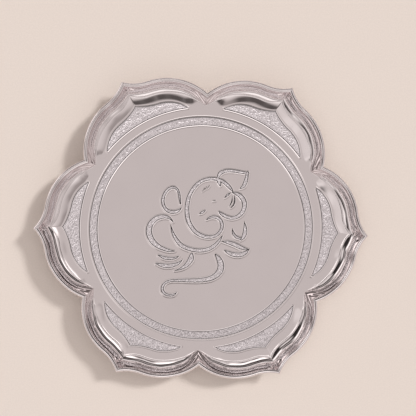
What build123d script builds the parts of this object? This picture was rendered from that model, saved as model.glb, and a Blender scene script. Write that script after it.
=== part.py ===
from build123d import *
import os
from math import atan2, cos, degrees, radians, sin, sqrt, tan

# A lotus puja thali: a six-petalled offering tray of soldered and plated sheet metal.
# It lies flat, with its base on z = 0, its axis on +Z and one petal pointing along +X.
# A flat base sheet carries a polished face layer with sunk stippled panels. A coved wall
# stands round each petal and ends in a rounded rim wire.
# Sizes are in millimetres and angles in degrees. A radius is measured from the tray's axis.

# Outer edge of the rim: tips and cusps, the pointed tip and the lean of the edge at a cusp
petal_count = 6
tip_radius = 127.0
petal_depth = 23.0
tip_half_angle = 47.0
cusp_lean = 21.0
nib_reach = 10.0

# Foot of the wall, set in from the rim
tip_wall_reach = 10.5
cusp_wall_reach = 9.0
foot_tip_half_angle = 44.0
foot_cusp_lean = 20.0
foot_nib_reach = 8.0

# Heights and sheet thicknesses
overall_height = 16.0
base_sheet = 0.8
face_sheet = 0.8
stipple_sheet = 0.4
wall_sheet = 1.0
engraving_depth = 0.4

# Slope of the wall's cove at its foot and under the rim, and the rim wire's section
foot_slope = 40.0
lip_slope = 85.0
rim_width = 3.0
rim_height = 1.8
rim_edge_radius = 0.7

# Floor pattern: plain bands, stippled ring and the crescent panels
cusp_band = 9.2
ring_width = 5.0
petal_band = 7.6
tip_margin = 9.5
panel_half_turn = 22.5
panel_tip_half_angle = 58.0
panel_end_lean = 28.0
panel_nib_reach = 9.0
seat_gap = 0.1

# Strokes of the engraved elephant-headed figure: x, y and the stroke's width there, drawn
# at the drawn height and scaled to the figure's height on the disc
figure_height = 101.0
drawn_height = 101.0
head_and_trunk = [
    (22.9, 30.4, 1.4), (20.6, 33.2, 3.0), (17.4, 36.2, 3.2), (13.4, 38.5, 3.1), (8.2, 39.7, 3.0),
    (3.4, 39.4, 3.0), (-1.0, 38.0, 3.1), (-4.8, 35.2, 3.3), (-8.2, 30.9, 3.4), (-10.8, 25.4, 3.6),
    (-11.9, 19.5, 3.8), (-11.9, 13.4, 4.0), (-10.9, 7.6, 3.9), (-8.6, 2.8, 3.8), (-4.8, -1.7, 3.7),
    (0.2, -4.5, 3.5), (5.4, -5.4, 3.2), (10.4, -4.3, 3.1), (14.0, -1.2, 3.1), (15.5, 3.2, 3.1),
    (14.5, 7.4, 3.1), (11.6, 9.8, 2.9), (8.0, 10.3, 2.7), (5.2, 9.5, 2.2), (3.5, 8.1, 1.3),
]
left_ear = [
    (-18.3, 22.4, 1.1), (-18.2, 28.2, 1.6), (-20.0, 31.3, 2.4), (-23.5, 32.3, 2.5), (-27.0, 30.6, 2.8),
    (-29.6, 27.0, 2.9), (-30.7, 22.8, 2.9), (-30.2, 18.8, 2.9), (-28.2, 15.4, 3.1), (-24.8, 13.5, 3.3),
    (-21.0, 13.6, 3.1), (-18.4, 15.2, 2.5), (-16.8, 17.5, 1.2),
]
raised_arm = [
    (-22.3, 5.6, 1.0), (-25.4, 8.7, 2.3), (-30.0, 9.7, 3.6), (-35.2, 8.2, 4.3), (-39.0, 4.6, 4.8),
    (-40.8, 0.0, 5.0), (-40.3, -4.8, 5.0), (-38.0, -9.4, 4.8), (-34.2, -12.9, 4.2), (-29.8, -15.2, 3.4),
    (-25.0, -16.7, 2.7), (-20.4, -17.0, 1.1),
]
belly = [
    (-24.1, 2.8, 1.0), (-22.6, -2.2, 2.2), (-20.0, -7.2, 3.2), (-16.4, -11.6, 3.8), (-11.4, -14.4, 3.6),
    (-5.6, -15.8, 3.6), (0.5, -16.0, 3.7), (6.0, -14.6, 3.6), (10.4, -11.7, 3.4), (13.4, -8.4, 2.8),
    (15.9, -4.4, 1.2),
]
crown_top = [
    (10.9, 40.4, 2.2), (12.5, 43.9, 3.4), (16.6, 46.0, 3.2), (22.5, 46.2, 2.9), (28.5, 45.4, 2.7),
    (34.0, 44.6, 2.5),
]
crown_back = [
    (33.7, 45.4, 2.3), (33.1, 41.2, 3.2), (32.2, 37.6, 3.6), (31.0, 34.8, 3.3), (28.6, 32.8, 1.5),
]
crown_knot = [(11.0, 40.0, 2.8), (12.2, 37.0, 3.2), (13.1, 34.4, 1.4)]
right_ear = [
    (22.8, 29.4, 1.5), (26.2, 28.6, 3.1), (29.7, 26.2, 4.0), (32.0, 22.4, 4.1), (32.2, 18.4, 4.0),
    (30.6, 14.2, 3.8), (27.4, 11.2, 3.6), (23.0, 9.9, 3.2), (18.6, 10.8, 3.3), (15.0, 12.6, 2.9),
    (12.6, 14.6, 1.2),
]
brow_marks = [
    [(21.0, 29.0, 1.1), (19.0, 27.7, 2.2), (16.8, 25.4, 1.1)],
    [(24.3, 27.0, 1.0), (24.6, 23.6, 1.6), (23.9, 20.2, 1.6), (21.8, 17.8, 1.0)],
    [(22.6, 26.2, 0.9), (22.3, 22.4, 1.5), (20.7, 18.9, 1.0)],
    [(-0.4, 30.0, 0.9), (0.8, 31.9, 0.9)],
    [(1.2, 31.3, 0.9), (2.4, 33.1, 0.9)],
    [(3.2, 32.3, 1.0), (4.6, 34.1, 1.0)],
]
eyes = [
    [(-1.9, 12.6, 1.5), (0.0, 13.8, 2.6), (1.9, 14.9, 1.5)],
    [(7.7, 22.6, 1.0), (9.5, 22.8, 1.0)],
]
blessing_hand = [
    [(32.7, 7.0, 0.9), (33.4, 3.0, 2.8), (33.4, -1.4, 3.9), (32.2, -5.0, 3.4), (30.6, -7.2, 1.4)],
    [(23.6, 1.0, 1.1), (24.4, -1.8, 2.3), (26.6, -4.7, 2.9), (30.0, -6.0, 2.4)],
]
offering_hand = [
    [(15.6, -8.7, 1.0), (20.6, -9.2, 3.3), (26.0, -10.9, 3.9), (31.0, -13.1, 3.5), (37.0, -14.6, 1.3)],
    [
        (18.0, -15.6, 1.2), (21.4, -17.4, 3.2), (25.6, -18.7, 4.0), (30.4, -18.7, 4.1),
        (34.4, -17.0, 3.3), (37.2, -14.2, 1.2),
    ],
]
folded_legs = [
    [
        (-32.8, -20.6, 1.6), (-28.6, -22.3, 2.9), (-24.0, -22.8, 3.0), (-19.8, -22.2, 2.2),
        (-17.2, -20.8, 1.0),
    ],
    [
        (-34.4, -27.0, 1.8), (-29.4, -28.4, 3.6), (-24.6, -28.6, 3.8), (-20.0, -27.6, 3.4),
        (-16.4, -25.7, 2.2), (-14.4, -23.6, 1.0),
    ],
    [
        (-7.4, -19.2, 2.8), (-7.8, -22.6, 4.8), (-9.6, -26.0, 4.5), (-12.8, -29.0, 3.4),
        (-16.2, -31.0, 2.2), (-20.0, -32.3, 1.0),
    ],
]
seat_swirl = [
    (11.0, -18.8, 1.4), (14.0, -22.6, 4.3), (15.6, -27.0, 5.4), (15.0, -31.6, 5.5), (11.8, -35.6, 5.0),
    (6.6, -38.2, 4.4), (-1.0, -39.5, 3.8), (-9.0, -39.8, 3.4), (-17.0, -39.9, 2.8), (-23.4, -40.4, 2.5),
    (-27.4, -42.3, 2.6), (-29.3, -45.6, 2.8), (-28.9, -48.8, 2.8), (-26.6, -51.0, 2.7),
    (-23.0, -51.8, 2.5), (-20.0, -51.1, 2.1), (-18.2, -49.6, 1.0),
]
figure_strokes = [
    head_and_trunk, left_ear, raised_arm, belly, crown_top, crown_back, crown_knot, right_ear,
    seat_swirl, *brow_marks, *eyes, *blessing_hand, *offering_hand, *folded_legs,
]


def polar(radius, angle):
    """The point at a radius and an angle from the tray's axis."""
    return Vector(radius * cos(radians(angle)), radius * sin(radians(angle)))


def arc_centre(point, way, other):
    """Centre of the arc that leaves a point along a unit direction and passes another point."""
    left = Vector(-way.Y, way.X)
    chord = other - point
    return point + left * (chord.dot(chord) / (2 * chord.dot(left)))


def arc_about(centre, start, end):
    """The shorter arc about a centre between two points."""
    middle = ((start - centre).normalized() + (end - centre).normalized()).normalized()
    return ThreePointArc(start, centre + middle * (start - centre).length, end)


class Ogee:
    """Half of a petal's line: a hollow nib arc from its tip, then a round shoulder arc to its end."""

    def __init__(self, tip_radius, end_radius, end_angle, tip_half_angle, end_lean, nib_reach):
        self.sizes = (tip_radius, end_radius, end_angle, tip_half_angle, end_lean, nib_reach)
        self.tip = Vector(tip_radius, 0)
        self.end = polar(end_radius, end_angle)
        tip_way = polar(1, 180 - tip_half_angle)
        end_way = polar(1, 180 - end_lean)
        span = self.end - self.tip
        shoulder_reach = (span.dot(span) - 2 * nib_reach * span.dot(tip_way)) / (
            2 * span.dot(end_way) + 2 * nib_reach * (1 - tip_way.dot(end_way))
        )
        nib_corner = self.tip + tip_way * nib_reach
        shoulder_corner = self.end - end_way * shoulder_reach
        self.join = nib_corner + (shoulder_corner - nib_corner).normalized() * nib_reach
        self.nib_centre = arc_centre(self.tip, tip_way, self.join)
        self.shoulder_centre = arc_centre(self.end, end_way, self.join)
        self.nib_radius = (self.tip - self.nib_centre).length
        self.shoulder_radius = (self.end - self.shoulder_centre).length

    def inset(self, depth):
        """The line moved inward, from the petal's axis to the same ray."""
        end_angle = self.sizes[2]
        nib_radius = self.nib_radius + depth
        tip = Vector(self.nib_centre.X - sqrt(nib_radius**2 - self.nib_centre.Y**2), 0)
        along = self.shoulder_centre.dot(polar(1, end_angle))
        shoulder_radius = self.shoulder_radius - depth
        rest = shoulder_radius**2 - self.shoulder_centre.dot(self.shoulder_centre)
        end_radius = along + sqrt(along**2 + rest)
        out = tip - self.nib_centre
        turn = out.get_angle(self.join - self.nib_centre)
        end_out = polar(end_radius, end_angle) - self.shoulder_centre
        return Ogee(
            tip.X,
            end_radius,
            end_angle,
            degrees(atan2(-out.X, -out.Y)),
            degrees(atan2(end_out.X, end_out.Y)),
            nib_radius * tan(radians(turn / 2)),
        )

    def toward(self, other, share):
        """The line that lies a share of the way to another line."""
        return Ogee(*(size + (far - size) * share for size, far in zip(self.sizes, other.sizes)))

    def crossing(self, radius):
        """Where the shoulder arc crosses a circle about the tray's axis."""
        far = self.shoulder_centre.length
        turn = (far**2 + radius**2 - self.shoulder_radius**2) / (2 * far * radius)
        start = degrees(atan2(self.shoulder_centre.Y, self.shoulder_centre.X))
        return polar(radius, start + degrees(atan2(sqrt(1 - turn**2), turn)))

    def arcs(self, end=None):
        """The two arcs, from the tip to the line's end or to an earlier point."""
        return [
            arc_about(self.nib_centre, self.tip, self.join),
            arc_about(self.shoulder_centre, self.join, end or self.end),
        ]


def both_halves(edges):
    """The edges of half a petal with their mirror images."""
    return edges + [mirror(edge, about=Plane.XZ) for edge in edges]


def turned(shape, index):
    """A shape of the first petal turned to another petal."""
    return Rot(0, 0, 2 * half_petal * index) * shape


def lobed_sheet(line, bottom, thickness):
    """A flat sheet cut to a line of all the petals."""
    petal = both_halves(line.arcs())
    edges = [turned(edge, index) for index in range(petal_count) for edge in petal]
    return Pos(0, 0, bottom) * extrude(make_face(edges), thickness)


def strip(outer, inner, height):
    """The flat half-petal strip between two lines, cut at the petal's axis and at the cusp."""
    ends = [Line(outer.tip, inner.tip), Line(outer.end, inner.end)]
    return Pos(0, 0, height) * make_face(outer.arcs() + inner.arcs() + ends)


def whole_petal(half):
    """Both halves of a petal's solid, joined at the mitre on the petal's axis."""
    return half + mirror(half, about=Plane.XZ)


def crescent(gap):
    """The first petal's panel outline, drawn in by a gap all round."""
    radius = panel_radius + gap
    line = panel_line.inset(gap)
    end = line.crossing(radius)
    inner = arc_about(Vector(0, 0), end, Vector(end.X, -end.Y))
    return make_face(both_halves(line.arcs(end)) + [inner])


def back_of(line, slope):
    """The wall's outer line at a level where its inner line and slope are given."""
    return line.inset(-wall_sheet / sin(radians(slope)))


def wall_solid():
    """A petal's wall: a foot beside the face sheet and a cove that steepens up to the rim."""
    foot = strip(back_of(foot_line, foot_slope), foot_line, base_sheet)
    run = sin(radians(lip_slope)) - sin(radians(foot_slope))
    rise = cos(radians(foot_slope)) - cos(radians(lip_slope))
    levels = []
    for step in range(cove_steps + 1):
        slope = foot_slope + (lip_slope - foot_slope) * step / cove_steps
        share = (sin(radians(slope)) - sin(radians(foot_slope))) / run
        lift = (cos(radians(foot_slope)) - cos(radians(slope))) / rise
        line = foot_line.toward(lip_line, share)
        levels.append(strip(back_of(line, slope), line, floor_top + (rim_bottom - floor_top) * lift))
    return whole_petal(extrude(foot, face_sheet) + loft(levels))


def rim_solid():
    """A petal's rim wire: flat below, with its two upper edges rounded."""
    half = extrude(strip(rim_line, lip_line, rim_bottom), rim_height)
    upper_edges = half.edges().filter_by(GeomType.CIRCLE).group_by(Axis.Z)[-1]
    return whole_petal(fillet(upper_edges, rim_edge_radius))


def stroke_face(points):
    """A pen stroke: a spline down each side of its points, closed by a line at each end."""
    scale = figure_height / drawn_height
    places = [Vector(x * scale, y * scale) for x, y, _ in points]
    last = len(places) - 1
    sides = ([], [])
    for index, (place, (_, _, width)) in enumerate(zip(places, points)):
        way = (places[min(index + 1, last)] - places[max(index - 1, 0)]).normalized()
        across = Vector(-way.Y, way.X) * (width * scale / 2)
        sides[0].append(place + across)
        sides[1].append(place - across)
    runs = [Spline(*side) if last > 1 else Line(*side) for side in sides]
    ends = [Line(sides[0][end], sides[1][end]) for end in (0, -1)]
    return make_face(runs + ends)


# Levels, lines and radii that follow from the sizes above
cove_steps = 5
half_petal = 180 / petal_count
floor_top = base_sheet + face_sheet
rim_bottom = overall_height - rim_height
cusp_radius = tip_radius - petal_depth
foot_tip_radius = tip_radius - tip_wall_reach
foot_cusp_radius = cusp_radius - cusp_wall_reach
ring_outer = foot_cusp_radius - cusp_band
disc_radius = ring_outer - ring_width
panel_radius = ring_outer + petal_band

rim_line = Ogee(tip_radius, cusp_radius, half_petal, tip_half_angle, cusp_lean, nib_reach)
lip_line = rim_line.inset(rim_width)
foot_line = Ogee(
    foot_tip_radius, foot_cusp_radius, half_petal, foot_tip_half_angle, foot_cusp_lean, foot_nib_reach
)
panel_line = Ogee(
    foot_tip_radius - tip_margin,
    panel_radius,
    panel_half_turn,
    panel_tip_half_angle,
    panel_end_lean,
    panel_nib_reach,
)

base_plate = lobed_sheet(back_of(foot_line, foot_slope), 0, base_sheet)

petal_frame = lobed_sheet(foot_line.inset(seat_gap), base_sheet, face_sheet)
petal_frame -= Pos(0, 0, base_sheet) * extrude(Circle(ring_outer), face_sheet)
window = Pos(0, 0, base_sheet) * extrude(crescent(0), face_sheet)
petal_frame -= [turned(window, index) for index in range(petal_count)]

stippled_ring = Pos(0, 0, base_sheet) * extrude(
    Circle(ring_outer - seat_gap) - Circle(disc_radius + seat_gap), stipple_sheet
)

centre_disc = Pos(0, 0, base_sheet) * extrude(Circle(disc_radius), face_sheet)
centre_disc -= [
    Pos(0, 0, floor_top - engraving_depth) * extrude(stroke_face(stroke), engraving_depth)
    for stroke in figure_strokes
]

panel = Pos(0, 0, base_sheet) * extrude(crescent(seat_gap), stipple_sheet)
wall = wall_solid()
rim_wire = rim_solid()

nodes = {
    "base_plate": base_plate,
    "petal_frame": petal_frame,
    "stippled_ring": stippled_ring,
    "centre_disc": centre_disc,
}
for index in range(petal_count):
    nodes[f"petal_panel_{index + 1}"] = turned(panel, index)
    nodes[f"petal_wall_{index + 1}"] = turned(wall, index)
    nodes[f"rim_wire_{index + 1}"] = turned(rim_wire, index)

os.makedirs("parts", exist_ok=True)
for name, solid in nodes.items():
    export_step(solid, f"parts/{name}.step")
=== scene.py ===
from math import acos, cos, pi, radians, sin

import bmesh
import bpy
import numpy as np
from bpy.props import FloatProperty, FloatVectorProperty, IntProperty, PointerProperty
from bpy.types import Operator, Panel, PropertyGroup
from mathutils import Matrix, Vector, noise


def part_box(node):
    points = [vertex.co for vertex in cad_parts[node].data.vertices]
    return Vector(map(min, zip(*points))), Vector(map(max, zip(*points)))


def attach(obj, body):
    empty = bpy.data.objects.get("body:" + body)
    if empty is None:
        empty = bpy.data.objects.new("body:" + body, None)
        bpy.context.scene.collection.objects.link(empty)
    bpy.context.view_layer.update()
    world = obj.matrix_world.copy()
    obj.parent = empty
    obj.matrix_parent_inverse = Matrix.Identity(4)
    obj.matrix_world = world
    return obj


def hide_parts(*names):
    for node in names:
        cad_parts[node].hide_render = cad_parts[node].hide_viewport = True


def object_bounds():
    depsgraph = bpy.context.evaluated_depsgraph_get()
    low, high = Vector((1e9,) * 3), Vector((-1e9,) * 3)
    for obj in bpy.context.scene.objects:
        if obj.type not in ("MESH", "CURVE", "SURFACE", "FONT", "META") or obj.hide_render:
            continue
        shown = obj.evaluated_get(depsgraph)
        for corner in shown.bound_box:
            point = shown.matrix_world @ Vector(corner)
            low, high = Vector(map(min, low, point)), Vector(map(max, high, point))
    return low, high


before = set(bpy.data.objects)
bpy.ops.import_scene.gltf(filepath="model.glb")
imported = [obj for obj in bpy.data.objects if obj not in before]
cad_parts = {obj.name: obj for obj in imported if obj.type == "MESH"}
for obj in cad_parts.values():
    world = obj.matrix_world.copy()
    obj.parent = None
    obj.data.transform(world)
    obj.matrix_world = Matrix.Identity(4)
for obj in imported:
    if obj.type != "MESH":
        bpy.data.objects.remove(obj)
cad_low, cad_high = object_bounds()

bl_info = {
    "name": "Lotus Puja Thali",
    "version": (1, 0, 0),
    "blender": (4, 5, 0),
    "location": "View3D > Sidebar > Thali",
    "description": "Dresses a lotus-shaped offering tray in polished and stippled plate",
    "category": "Object",
}

MM = 0.001


def size(name, description, metres):
    """A length that a user may change."""
    return FloatProperty(name=name, description=description, default=metres, unit="LENGTH", precision=5)


def angle(name, description, degrees):
    """An angle that a user may change."""
    return FloatProperty(name=name, description=description, default=radians(degrees), subtype="ANGLE")


def amount(name, description, value):
    """A plain number that a user may change."""
    return FloatProperty(name=name, description=description, default=value, precision=4)


def colour(name, description, rgb):
    """A colour that a user may change."""
    return FloatVectorProperty(
        name=name, description=description, default=rgb, subtype="COLOR", min=0, max=1,
    )


class PetalOutline(PropertyGroup):
    """Lines of a petal in plan: the rim's outer edge and the foot of its wall."""

    count: IntProperty(name="Petals", description="Petals round the tray", default=6, min=3)
    tip_radius: size("Tip radius", "From the axis to the tip of the rim", cad_high.x)
    depth: size("Petal depth", "How far a cusp lies inside the tips", 23 * MM)
    tip_half_angle: angle("Tip half angle", "Half of the angle of the pointed tip", 47)
    cusp_lean: angle("Cusp lean", "Lean of the rim where it meets a cusp", 21)
    nib_reach: size("Nib reach", "Length of the hollow stretch beside the tip", 10 * MM)
    rim_width: size("Rim width", "Width of the rim wire in plan", 3 * MM)
    tip_wall_reach: size("Wall reach at tip", "From the rim's tip in to the wall's foot", 10.5 * MM)
    cusp_wall_reach: size("Wall reach at cusp", "From the rim's cusp in to the wall's foot", 9 * MM)
    foot_tip_half_angle: angle("Foot tip half angle", "Half of the angle of the foot's tip", 44)
    foot_cusp_lean: angle("Foot cusp lean", "Lean of the foot where it meets a cusp", 20)
    foot_nib_reach: size("Foot nib reach", "Hollow stretch beside the foot's tip", 8 * MM)


class WallSection(PropertyGroup):
    """Heights and slopes of the tray's section."""

    base_top: size("Base top", "Top of the base sheet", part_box("petal_frame")[0].z)
    floor_top: size("Floor top", "Top of the polished floor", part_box("petal_frame")[1].z)
    rim_bottom: size("Rim bottom", "Where the wall meets the rim wire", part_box("rim_wire_1")[0].z)
    rim_top: size("Rim top", "Highest line of the rim wire", cad_high.z)
    wall_sheet: size("Wall sheet", "Thickness of the wall", 1 * MM)
    foot_slope: angle("Foot slope", "Slope of the cove at its foot", 40)
    lip_slope: angle("Lip slope", "Slope of the cove under the rim", 85)
    margin_start: angle("Margin start", "Slope of the dished margin beside its panel", 10.5)
    margin_end: angle("Margin end", "Slope of the dished margin at the wall", 20)
    crease_height: size("Crease height", "Height of the rounded crease at the wall's foot", 0.2 * MM)
    crease_width: size("Crease width", "Width of that crease", 1.5 * MM)
    ripple: size("Ripple", "Unevenness of the hand-worked wall", 0.2 * MM)
    dent: size("Dent", "Depth of the small dents in the wall", 0.004 * MM)


class FloorPattern(PropertyGroup):
    """Sunk ring and crescent panels of the floor."""

    seat_gap: size("Seat gap", "Clearance round a sunk sheet", 0.1 * MM)
    disc_radius: size("Disc radius", "Edge of the engraved floor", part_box("centre_disc")[1].x)
    ring_edge: size("Ring edge", "Outer edge of the ring's sheet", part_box("stippled_ring")[1].x)
    petal_band: size("Petal band", "From the ring out to a crescent panel", 7.6 * MM)
    tip_margin: size("Tip margin", "From a panel's tip out to the wall's foot", 9.5 * MM)
    panel_half_turn: angle("Panel half turn", "Half of the turn that a panel spans", 22.5)
    panel_tip_half_angle: angle("Panel tip half angle", "Half of the angle of a panel's tip", 58)
    panel_end_lean: angle("Panel end lean", "Lean of a panel's edge at its horns", 28)
    panel_nib_reach: size("Panel nib reach", "Hollow stretch beside a panel's tip", 9 * MM)
    sunk_top: size("Sunk top", "Mean level of the stippled fields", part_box("stippled_ring")[1].z)
    edge_roll: size("Edge roll", "Width of the rolled edge round a sunk field", 0.8 * MM)
    lip_height: size("Lip height", "Height of the lip round a sunk field", 0.13 * MM)
    lip_width: size("Lip width", "Width of that lip", 1.15 * MM)
    grain_height: size("Grain height", "Height of the stippled grain", 0.22 * MM)
    grain_size: size("Grain size", "Spacing of the stippled grain", 1.02 * MM)


class FigureSizes(PropertyGroup):
    """Engraved figure on the round floor."""

    height: size("Figure height", "Height of the figure", 101 * MM)
    drawn_height: size("Drawn height", "Height that the strokes are drawn at", 101 * MM)
    cell: size("Cell", "Mesh spacing over the figure", 0.3 * MM)
    border: size("Border", "Plain border kept round the strokes", 1.5 * MM)
    edge_roll: size("Edge roll", "Width of the rolled edge of a stroke", 0.9 * MM)


class PlateFinish(PropertyGroup):
    """Colours and gloss of the plate, with the painted shade of its sunk edges and of its grain's pits.
    """

    polished: colour("Polished", "Polished plate", (0.86, 0.803, 0.803))
    polished_dull: colour("Polished, dull", "Where the polish is hazed", (0.845, 0.788, 0.788))
    stippled: colour("Stippled", "Stippled plate", (0.98, 0.935, 0.96))
    # Painted shade: the grain's pits are coloured darker than its ridges
    stippled_pit_shade: colour("Stippled, pit shade", "Darkened pits of the grain", (0.72, 0.685, 0.705))
    # Painted shade: a near-black colour laid on the rolled edges of the sunk fields and engraved strokes
    sunk_edge_shade: colour("Sunk edge shade", "Darkened metal in the sunk edges", (0.05, 0.046, 0.047))
    satin: colour("Satin", "Plain underside", (0.6, 0.585, 0.575))
    polished_roughness: amount("Polished roughness", "Mean roughness of the polish", 0.045)
    stippled_roughness: amount("Stippled roughness", "Mean roughness of the grain", 0.11)
    sunk_edge_shade_roughness: amount("Tarnish roughness", "Roughness of the darkened edges", 0.36)
    satin_roughness: amount("Satin roughness", "Mean roughness of the underside", 0.38)


class StageLook(PropertyGroup):
    """Camera, light and floor."""

    lens: FloatProperty(name="Lens", description="Focal length", default=70, unit="CAMERA")
    distance: size("Camera distance", "From the tray's floor to the camera", 624.3 * MM)
    lean_right: angle("Lean right", "Lean of the view towards +X", -3.78)
    lean_up: angle("Lean up", "Lean of the view towards +Y", 7.21)
    roll: angle("Roll", "Turn of the picture's upright from +Y", -1.82)
    shift_x: amount("Shift X", "Framing across, in picture widths", 0.0146)
    shift_y: amount("Shift Y", "Framing upwards, in picture widths", 0.0528)
    floor_size: size("Floor size", "Side of the floor", 60.0)
    floor_drop: size("Floor drop", "From the tray's base down to the floor", 0.05 * MM)
    floor: colour("Floor", "Pale floor", (0.775, 0.69, 0.628))
    floor_roughness: amount("Floor roughness", "Roughness of the floor", 0.85)
    key_strength: amount("Key strength", "Strength of the key light", 2.0)
    key_turn: angle("Key turn", "Direction of the key light, from +X", 38)
    key_height: angle("Key height", "Key light above the floor", 36)
    key_softness: angle("Key softness", "Width of the key light as the tray sees it", 10)


# Strokes of the engraved figure in millimetres: x, y and the stroke's width there
HEAD_AND_TRUNK = [
    (22.9, 30.4, 1.4), (20.6, 33.2, 3.0), (17.4, 36.2, 3.2), (13.4, 38.5, 3.1), (8.2, 39.7, 3.0),
    (3.4, 39.4, 3.0), (-1.0, 38.0, 3.1), (-4.8, 35.2, 3.3), (-8.2, 30.9, 3.4), (-10.8, 25.4, 3.6),
    (-11.9, 19.5, 3.8), (-11.9, 13.4, 4.0), (-10.9, 7.6, 3.9), (-8.6, 2.8, 3.8), (-4.8, -1.7, 3.7),
    (0.2, -4.5, 3.5), (5.4, -5.4, 3.2), (10.4, -4.3, 3.1), (14.0, -1.2, 3.1), (15.5, 3.2, 3.1),
    (14.5, 7.4, 3.1), (11.6, 9.8, 2.9), (8.0, 10.3, 2.7), (5.2, 9.5, 2.2), (3.5, 8.1, 1.3),
]
LEFT_EAR = [
    (-17.1, 19.6, 1.3), (-17.7, 23.4, 2.1), (-18.5, 27.8, 2.2), (-20.2, 31.1, 2.4), (-23.5, 32.3, 2.5),
    (-27.0, 30.6, 2.8), (-29.6, 27.0, 2.9), (-30.7, 22.8, 2.9), (-30.2, 18.8, 2.9), (-28.2, 15.4, 3.1),
    (-24.8, 13.5, 3.3), (-21.0, 13.5, 3.1), (-18.3, 14.7, 2.5), (-16.5, 16.5, 1.2),
]
RAISED_ARM = [
    (-22.3, 5.6, 1.0), (-25.4, 8.7, 2.3), (-30.0, 9.7, 3.6), (-35.2, 8.2, 4.3), (-39.0, 4.6, 4.8),
    (-40.8, 0.0, 5.0), (-40.3, -4.8, 5.0), (-38.0, -9.4, 4.8), (-34.2, -12.9, 4.2), (-29.8, -15.2, 3.4),
    (-25.0, -16.7, 2.7), (-20.4, -17.0, 1.1),
]
BELLY = [
    (-24.1, 2.8, 1.0), (-22.6, -2.2, 2.2), (-20.0, -7.2, 3.2), (-16.4, -11.6, 3.8), (-11.4, -14.4, 3.6),
    (-5.6, -15.8, 3.6), (0.5, -16.0, 3.7), (6.0, -14.6, 3.6), (10.4, -11.7, 3.4), (13.4, -8.4, 2.8),
    (15.9, -4.4, 1.2),
]
CROWN_TOP = [
    (10.9, 40.4, 2.2), (12.5, 43.9, 3.4), (16.6, 46.0, 3.2), (22.5, 46.2, 2.9), (28.5, 45.4, 2.7),
    (34.0, 44.6, 2.5),
]
CROWN_BACK = [
    (33.7, 45.4, 2.3), (33.1, 41.2, 3.2), (32.2, 37.6, 3.6), (31.0, 34.8, 3.3), (28.6, 32.8, 1.5),
]
CROWN_KNOT = [(11.0, 40.0, 2.8), (12.2, 37.0, 3.2), (13.1, 34.4, 1.4)]
RIGHT_EAR = [
    (22.8, 29.4, 1.5), (26.2, 28.6, 3.1), (29.7, 26.2, 4.0), (32.0, 22.4, 4.1), (32.2, 18.4, 4.0),
    (30.6, 14.2, 3.8), (27.4, 11.2, 3.6), (23.0, 9.9, 3.2), (18.6, 10.8, 3.3), (15.0, 12.6, 2.9),
    (12.6, 14.6, 1.2),
]
BROW_MARKS = [
    [(21.0, 29.0, 1.1), (19.0, 27.7, 2.2), (16.8, 25.4, 1.1)],
    [(24.3, 27.0, 1.0), (24.6, 23.6, 1.6), (23.9, 20.2, 1.6), (21.8, 17.8, 1.0)],
    [(22.6, 26.2, 0.9), (22.3, 22.4, 1.5), (20.7, 18.9, 1.0)],
    [(-0.4, 30.0, 0.9), (0.8, 31.9, 0.9)],
    [(1.2, 31.3, 0.9), (2.4, 33.1, 0.9)],
    [(3.2, 32.3, 1.0), (4.6, 34.1, 1.0)],
]
EYES = [
    [(-1.9, 12.6, 1.5), (0.0, 13.8, 2.6), (1.9, 14.9, 1.5)],
    [(7.7, 22.6, 1.0), (9.5, 22.8, 1.0)],
]
BLESSING_HAND = [
    [(32.7, 7.0, 0.9), (33.4, 3.0, 2.8), (33.4, -1.4, 3.9), (32.2, -5.0, 3.4), (30.6, -7.2, 1.4)],
    [(23.6, 1.0, 1.1), (24.4, -1.8, 2.3), (26.6, -4.7, 2.9), (30.0, -6.0, 2.4)],
]
OFFERING_HAND = [
    [(15.6, -8.7, 1.0), (20.6, -9.2, 3.3), (26.0, -10.9, 3.9), (31.0, -13.1, 3.5), (37.0, -14.6, 1.3)],
    [
        (18.0, -15.6, 1.2), (21.4, -17.4, 3.2), (25.6, -18.7, 4.0), (30.4, -18.7, 4.1),
        (34.4, -17.0, 3.3), (37.2, -14.2, 1.2),
    ],
]
FOLDED_LEGS = [
    [
        (-32.8, -20.6, 1.6), (-28.6, -22.3, 2.9), (-24.0, -22.8, 3.0), (-19.8, -22.2, 2.2),
        (-17.2, -20.8, 1.0),
    ],
    [
        (-34.4, -27.0, 1.8), (-29.4, -28.4, 3.6), (-24.6, -28.6, 3.8), (-20.0, -27.6, 3.4),
        (-16.4, -25.7, 2.2), (-14.4, -23.6, 1.0),
    ],
    [
        (-7.4, -19.2, 2.8), (-7.8, -22.6, 4.8), (-9.6, -26.0, 4.5), (-12.8, -29.0, 3.4),
        (-16.2, -31.0, 2.2), (-20.0, -32.3, 1.0),
    ],
]
SEAT_SWIRL = [
    (11.0, -18.8, 1.4), (14.0, -22.6, 4.3), (15.6, -27.0, 5.4), (15.0, -31.6, 5.5), (11.8, -35.6, 5.0),
    (6.6, -38.2, 4.4), (-1.0, -39.5, 3.8), (-9.0, -39.8, 3.4), (-17.0, -39.9, 2.8), (-23.4, -40.4, 2.5),
    (-27.4, -42.3, 2.6), (-29.3, -45.6, 2.8), (-28.9, -48.8, 2.8), (-26.6, -51.0, 2.7),
    (-23.0, -51.8, 2.5), (-20.0, -51.1, 2.1), (-18.2, -49.6, 1.0),
]
FIGURE_STROKES = [
    HEAD_AND_TRUNK, LEFT_EAR, RAISED_ARM, BELLY, CROWN_TOP, CROWN_BACK, CROWN_KNOT, RIGHT_EAR,
    SEAT_SWIRL, *BROW_MARKS, *EYES, *BLESSING_HAND, *OFFERING_HAND, *FOLDED_LEGS,
]


def ray(turn):
    """The unit direction at a turn from +X, as a complex number."""
    return complex(cos(turn), sin(turn))


def dot(one, other):
    """The dot product of two plane directions."""
    return (one.conjugate() * other).real


def arc_centre(point, way, other):
    """Centre of the arc that leaves a point along a unit direction and passes another point."""
    left = way * 1j
    chord = other - point
    return point + left * (abs(chord) ** 2 / (2 * dot(chord, left)))


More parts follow.
